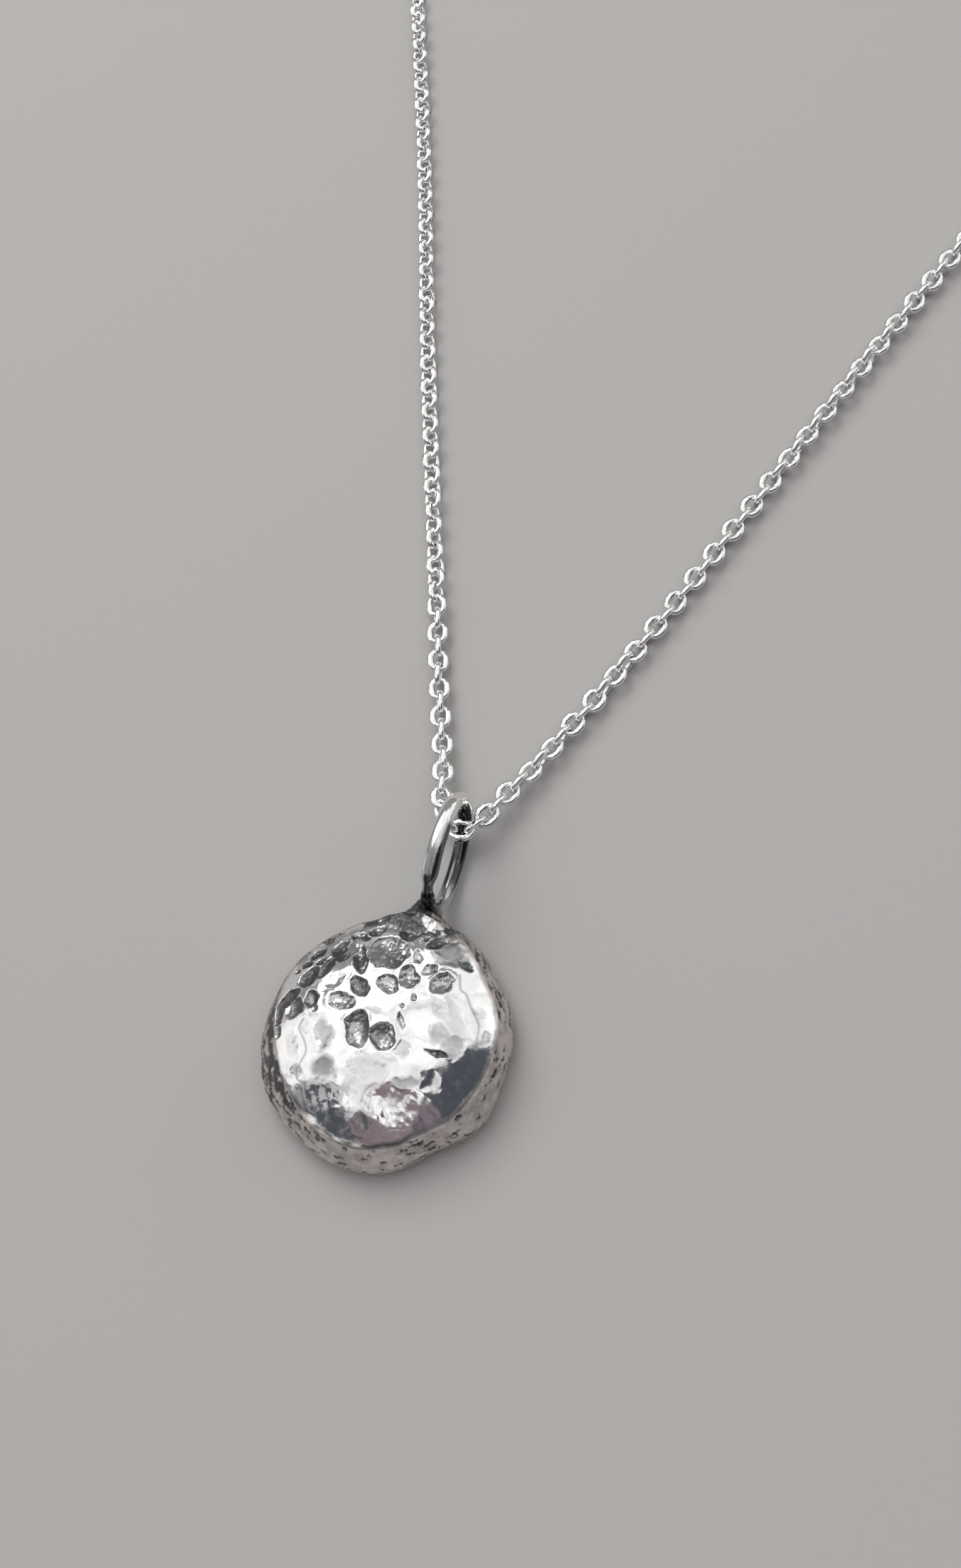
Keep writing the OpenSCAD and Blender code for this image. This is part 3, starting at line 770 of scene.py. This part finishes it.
# Points along the wire's middle in all, about how long it is, and points round the wire
BAIL_STEPS = 220
BAIL_PATH_LENGTH = 18
BAIL_SIDES = 28
# The noise in the wire's width, as a share of it: height, size of its waves, seed
BAIL_DENTS = [(0.03, 1.7, 41)]
# Shares of the wire: how much thicker the upper run is hammered, and how much the point and the stub
# in the neck lose of its width and thickness
SWELL = 0.15
THIN_WIDTH = 0.35
THIN_THICKNESS = 0.45
STUB_WIDTH = 0.05
STUB_THICKNESS = 0.1
BAIL_SILVER = (0.90, 0.895, 0.89, 1)
WIRE_OXIDE_AND_SHADE = (0.05, 0.05, 0.055, 1)


def bail_path():
    """Points and outward directions on the oval: two end arcs of a radius near its half height, joined by
    two wide side arcs that are tangent to them."""
    long = (BAIL_LENGTH - BAIL_WIRE) / 2
    high = (BAIL_HEIGHT - BAIL_WIRE) / 2
    end_radius = BAIL_END_SHARE * high
    end_at = long - end_radius
    side_radius = (end_at**2 + high**2 - end_radius**2) / (2 * (high - end_radius))
    join = np.arctan2(side_radius - high, end_at)
    arcs = [
        (end_at, 0, end_radius, -join, join),
        (0, high - side_radius, side_radius, join, np.pi - join),
        (-end_at, 0, end_radius, np.pi - join, np.pi + join),
        (0, side_radius - high, side_radius, np.pi + join, 2 * np.pi - join),
    ]
    points = []
    outward = []
    for x, y, radius, begins, ends in arcs:
        steps = int(BAIL_STEPS * radius * (ends - begins) / BAIL_PATH_LENGTH) + 1
        turn = np.linspace(begins, ends, steps, endpoint=False)
        outward.append(np.stack([np.cos(turn), np.sin(turn)], axis=-1))
        points.append(np.array([x, y]) + radius * outward[-1])
    return np.concatenate(points), np.concatenate(outward)


def closed_sheet(index):
    """Faces between the rows and columns of a grid of points that closes in both directions."""
    next_row = np.roll(index, -1, axis=0)
    next_column = np.roll(index, -1, axis=1)
    return np.stack([index, next_column, np.roll(next_row, -1, axis=1), next_row], axis=-1).reshape(-1, 4)


def sweep_ring(name, middle, outward, sideways, width, thickness, sides, values):
    """A closed wire: round each point of a closed path lies an oval of the given width along its outward
    direction and thickness along its sideways direction."""
    turn = np.linspace(0, 2 * np.pi, sides, endpoint=False)
    across = np.cos(turn)[None, :, None] * outward[:, None, :] * width[:, None, None] / 2
    beside = np.sin(turn)[None, :, None] * sideways[:, None, :] * thickness[:, None, None] / 2
    points = middle[:, None, :] + across + beside
    index = np.arange(len(middle) * sides).reshape(len(middle), sides)
    return shape(name, points.reshape(-1, 3), [closed_sheet(index)], values)


def make_bail():
    """The oval path set upright along the neck, with the wire's thickness from the place on the oval. The
    black has a row for each stretch of the wire and the side of it that is black, and the blackest counts:
    real oxide at the foot and the stub, painted shade on the far end, the lower run and the upper run."""
    flat, outward = bail_path()
    ahead = np.array([-np.sin(BAIL_TURN), np.cos(BAIL_TURN), 0])
    above = np.array([0, 0, 1.0])
    sideways = np.array([np.cos(BAIL_TURN), np.sin(BAIL_TURN), 0])
    middle = BAIL_AT + flat[:, :1] * ahead + flat[:, 1:] * above
    out = outward[:, :1] * ahead + outward[:, 1:] * above
    y = middle[:, 1]
    z = middle[:, 2]
    thin = hump(y, 8.5, 0.5) * hump(z, 4.6, 0.5)
    stub = step_up(y, 8.45, 8.25) * step_up(z, 2.6, 3.2)
    high = step_up(z, 2.5, 5.0)
    dents = waves(middle, BAIL_DENTS)
    width = BAIL_WIRE * (1 - THIN_WIDTH * thin + dents - STUB_WIDTH * stub)
    thickness = BAIL_WIRE * (1 + SWELL * high - THIN_THICKNESS * thin - dents - STUB_THICKNESS * stub)
    # Oxide all round the foot and the stub; the black on the far end, on the lower run under the upper one
    # and on the upper run by the neck is painted shade and dark reflection
    foot = hump(y, 7.6, 1.0) * step_up(z, 1.0, 3.0)
    far_end = step_up(y, 13.2, 13.9) * step_up(z, 4.1, 3.2)
    lower_run = step_up(z, 3.2, 2.2) * step_up(y, 14.6, 13.9)
    lower_run = lower_run * (0.45 + 0.52 * step_up(y, 9.0, 10.4))
    upper_end = 0.80 * step_up(y, 11.3, 10.1) * step_up(z, 3.2, 4.2)
    upper_run = 0.87 * step_up(y, 12.4, 11.9) * step_up(z, 3.2, 4.2)
    turn = np.linspace(0, 2 * np.pi, BAIL_SIDES, endpoint=False)
    inner_side = step_up(-np.cos(turn), -0.05, 0.45)
    all_but_left = step_up(np.sin(turn), -0.85, -0.35)
    right_side = step_up(np.sin(turn), 0.45, 0.75)
    all_round = np.ones(BAIL_SIDES)
    soot_and_shade = np.max([
        np.outer(np.maximum(lower_run, far_end), inner_side),
        np.outer(upper_end, all_but_left),
        np.outer(upper_run, right_side),
        np.outer(np.maximum(foot, stub), all_round),
    ], axis=0)
    across = np.repeat(sideways[None], len(middle), axis=0)
    return sweep_ring("bail", middle, out, across, width, thickness, BAIL_SIDES, {"oxide_and_shade": soot_and_shade})


def wire_silver(name, tint, polished, worn):
    """Bright silver wire, with black in patches where its points carry oxide and painted shade, and hairline
    scratches in the polish.
    """
    made, tree, shader = new_material(name)
    place = add(tree, "ShaderNodeTexCoord").outputs["Object"]
    wear = handled(tree, polished, worn)
    kept_in_patches = ramp(tree, cloudy(tree, place, 3800, 3), 0.22, 0.34)
    broken = reckon(tree, "MULTIPLY", painted(tree, "oxide_and_shade"), kept_in_patches)
    tree.links.new(blend(tree, broken, tint, WIRE_OXIDE_AND_SHADE), shader.inputs["Base Color"])
    tree.links.new(wear.outputs["Roughness"], shader.inputs["Roughness"])
    scratches = {"Height": wear.outputs["Height"], "Strength": 0.3, "Distance": 0.005 * MM}
    tree.links.new(add(tree, "ShaderNodeBump", scratches).outputs[0], shader.inputs["Normal"])
    return made


bail = make_bail()
bail.data.materials.append(wire_silver("bail_silver", BAIL_SILVER, 0.04, 0.12))
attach(bail, "root")
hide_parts("pendant")

# The chain
# A fine cable chain of about 420 oval links, each a loop of flattened silver wire set square to the next.
# It runs from the clasp down the left strand, lies over the bail's lower wire and goes up the right strand.
ROUTE = np.array([
    [-9.95, 199.8, 0.67], [-24, 196.6, 0.67], [-37, 188.6, 0.67], [-47.5, 176.1, 0.67],
    [-53.6, 160.8, 0.67], [-54.6, 144.4, 0.67], [-50.8, 128, 0.67], [-44, 112.5, 0.67],
    [-33.7, 89.2, 0.67], [-23.2, 65, 0.67], [-16.3, 48.2, 0.67], [-11, 35.7, 0.67],
    [-7.9, 28.5, 0.67], [-5.7, 23.3, 0.67], [-4.3, 20.1, 0.75], [-3.1, 17.5, 0.95],
    [-2.4, 15.7, 1.25], [-1.8, 14.4, 1.45], [-1, 13.6, 1.55], [-0.1, 13.3, 1.6],
    [0.55, 13.8, 1.6], [1.05, 14.8, 1.45], [1.6, 16.4, 1.2], [2.5, 18.6, 0.9],
    [3.6, 21.6, 0.75], [4.9, 25.2, 0.67], [7.4, 32.6, 0.67], [10.8, 43.4, 0.67],
    [15.3, 57.4, 0.67], [21.4, 75, 0.67], [28.7, 95.5, 0.67], [35.9, 114.5, 0.67],
    [41.7, 131, 0.67], [44, 148, 0.67], [41.2, 164.8, 0.67], [33.6, 180.4, 0.67],
    [22.2, 191.6, 0.67], [9.5, 197.9, 0.67], [-1.05, 199.8, 0.67],
])
# The link that lies in the bail is at this row of the route
LYING_LINK = 19
ROUTE_HEIGHT = 0.67
LINK_PITCH = 1.05
LINK_LENGTH = 1.76
LINK_WIDTH = 1.50
SIDE_WIRE = 0.48
END_WIRE = 0.35
LINK_THICKNESS = 0.34
# How round the oval is, 1 for an ellipse and less for fuller corners, and how soon its wire narrows
# towards the ends
LINK_ROUNDNESS = 0.9
WIRE_TAPER = 1.5
# Points round the oval, and round its wire
LINK_STEPS = 12
WIRE_SIDES = 6
# How far the strand is twisted: distance along it from the bail, where left is below zero, and degrees
TWIST = np.array([
    [-225, 180], [-60, 123], [-24, 123], [-17.6, 120], [-16.4, 78], [-3, 78], [-1.2, 10], [0, 0],
    [1, 24], [3.5, 24], [5.5, -6], [8, -8], [9.5, 20], [11.5, 24], [13, -6], [15, -10], [17, 20],
    [30, 24], [34, -8], [44, -10], [48, 20], [60, -8], [225, 0],
])
# How far a link strays at random: askew along the table and up from it, as a share of its way ahead,
# and in its twist, in degrees
ASKEW_LEVEL = 0.05
ASKEW_UP = 0.02
TWIST_SPREAD = 3.5
LINKS_SEED = 7
# How much flatter the links sprawl where both they and their neighbours lean, as a share of their lean
SPRAWL = 0.2
# How much shorter than drawn tight each strand lies by the bail, and over how many links: left and right
SLACK = (1.25, 0.9)
SLACK_LINKS = (9, 6)
CHAIN_SILVER = (0.95, 0.95, 0.945, 1)


def link_loop():
    """One flat oval link in millimetres: round an oval centre line, the wire has a six-sided section that
    is wide at the sides of the oval and narrow at its ends."""
    turn = np.linspace(0, 2 * np.pi, LINK_STEPS, endpoint=False) + np.pi / LINK_STEPS
    section = np.linspace(0, 2 * np.pi, WIRE_SIDES, endpoint=False)
    ends = np.abs(np.cos(turn)) ** WIRE_TAPER
    wire = SIDE_WIRE * (1 - ends) + END_WIRE * ends
    out = np.stack([np.cos(turn), np.sin(turn)], axis=-1)
    half = np.array([LINK_LENGTH - END_WIRE, LINK_WIDTH - SIDE_WIRE]) / 2
    line = np.sign(out) * np.abs(out) ** LINK_ROUNDNESS * half
    across = line[:, None, :] + out[:, None, :] * np.cos(section)[None, :, None] * wire[:, None, None] / 2
    rise = np.sin(section) * LINK_THICKNESS / 2 / np.sin(np.pi / 3)
    rise = np.broadcast_to(rise, across.shape[:2])
    return np.concatenate([across, rise[..., None]], axis=-1).reshape(-1, 3)


def walk_route():
    """Places along the route, one for each link, a pitch apart in both directions from the link that lies
    in the bail, less slack * (1 - exp(-number / slack links)), because the strands aren't drawn tight
    there. The last link on each side stands on edge in the clasp's eye."""
    fine = curve(ROUTE, np.linspace(0, len(ROUTE) - 1, 20 * len(ROUTE)))
    run = run_along(fine)
    start = np.interp(LYING_LINK, np.linspace(0, len(ROUTE) - 1, len(fine)), run)
    counts = [2 * round((length / LINK_PITCH - 1) / 2) + 1 for length in (start, run[-1] - start)]
    number = np.arange(-counts[0], counts[1] + 1)
    left = number < 0
    slack = np.where(left, *SLACK)
    gathered = slack * (1 - np.exp(-np.abs(number) / np.where(left, *SLACK_LINKS)))
    pitch = (np.where(left, start, run[-1] - start) + slack) / np.where(left, *counts)
    along = number * pitch - np.sign(number) * gathered
    place = np.stack([np.interp(along + start, run, fine[:, axis]) for axis in range(3)], axis=-1)
    return place, along, number


def make_chain():
    """Every link is the loop turned to its stretch of route, rolled a quarter turn from its neighbour and
    set a little askew, all worked out as one array. Its middle is lifted by |sin(roll)| * width / 2, its
    own or a neighbour's, whichever is the most."""
    place, along, number = walk_route()
    random = np.random.default_rng(LINKS_SEED)
    ahead = unit(np.gradient(place, axis=0))
    ahead[:, :2] += random.normal(0, ASKEW_LEVEL, (len(place), 2))
    ahead[:, 2] += random.normal(0, ASKEW_UP, len(place))
    ahead = unit(ahead)
    side = unit(np.cross([0, 0, 1.0], ahead))
    above = np.cross(ahead, side)
    twist = np.interp(along, *TWIST.T) + random.normal(0, TWIST_SPREAD, len(place))
    roll = np.radians((twist + 90 * (number % 2) + 90) % 180 - 90)
    roll *= 1 - SPRAWL * step_up(np.abs(np.sin(2 * roll)), 0.8, 0.95)
    upright = np.abs(np.sin(roll))
    upright = np.max([upright, np.roll(upright, 1), np.roll(upright, -1)], axis=0)
    place[:, 2] += upright * LINK_WIDTH / 2 - ROUTE_HEIGHT
    roll = roll[:, None]
    flat_side = side * np.cos(roll) + above * np.sin(roll)
    normal = above * np.cos(roll) - side * np.sin(roll)
    loop = link_loop()
    points = place[:, None] + loop[:, :1] * ahead[:, None] + loop[:, 1:2] * flat_side[:, None]
    points = points + loop[:, 2:] * normal[:, None]
    points[..., 2] = np.maximum(points[..., 2], 0)
    ring = closed_sheet(np.arange(len(loop)).reshape(LINK_STEPS, WIRE_SIDES))
    ring = np.flip(ring, axis=-1)
    faces = (np.arange(len(place))[:, None, None] * len(loop) + ring).reshape(-1, 4)
    return shape("chain_links", points.reshape(-1, 3), [faces], {"oxide_and_shade": np.zeros(points.shape[:2])})


chain = make_chain()
chain.data.materials.append(wire_silver("chain_wire", CHAIN_SILVER, 0.07, 0.20))
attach(chain, "root")
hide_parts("chain")

# The clasp
# A plain closed ring with a small eye soldered to each side, in which the chain's two last links stand. It
# lies flat behind the neck and is polished like the chain.
CLASP_AT = np.array([-5.5, 199.8, 0.55])
CLASP_WIDTH = 5.5
CLASP_WIRE = 1.1
EYE_BORE = 1.1
EYE_WIRE = 0.45
EYE_SINK = 0.15
# Points along the wire, and round it: the ring's and the eyes'
RING_STEPS = 96
RING_SIDES = 24
EYE_STEPS = 48
EYE_SIDES = 16
CLASP_SILVER = (0.93, 0.93, 0.925, 1)


def make_ring(name, centre, radius, wire, steps, sides):
    """A flat round ring of round wire about an upright axis."""
    turn = np.linspace(0, 2 * np.pi, steps, endpoint=False)
    outward = np.stack([np.cos(turn), np.sin(turn), 0 * turn], axis=-1)
    upright = np.repeat(np.array([[0, 0, 1.0]]), steps, axis=0)
    thick = np.full(steps, wire)
    clean = {"oxide_and_shade": np.zeros(steps * sides)}
    return sweep_ring(name, centre + radius * outward, outward, upright, thick, thick, sides, clean)


clasp_silver = wire_silver("clasp_silver", CLASP_SILVER, 0.06, 0.16)
ring_radius = (CLASP_WIDTH - CLASP_WIRE) / 2
eye_radius = (EYE_BORE + EYE_WIRE) / 2
eye_at = np.array([CLASP_WIDTH / 2 + eye_radius - EYE_SINK, 0, 0])
clasp_parts = {
    "clasp_ring": (CLASP_AT, ring_radius, CLASP_WIRE, RING_STEPS, RING_SIDES),
    "clasp_eye_left": (CLASP_AT - eye_at, eye_radius, EYE_WIRE, EYE_STEPS, EYE_SIDES),
    "clasp_eye_right": (CLASP_AT + eye_at, eye_radius, EYE_WIRE, EYE_STEPS, EYE_SIDES),
}
for name, measures in clasp_parts.items():
    part = make_ring(name, *measures)
    part.data.materials.append(clasp_silver)
    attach(part, "root")
    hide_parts("clasp")
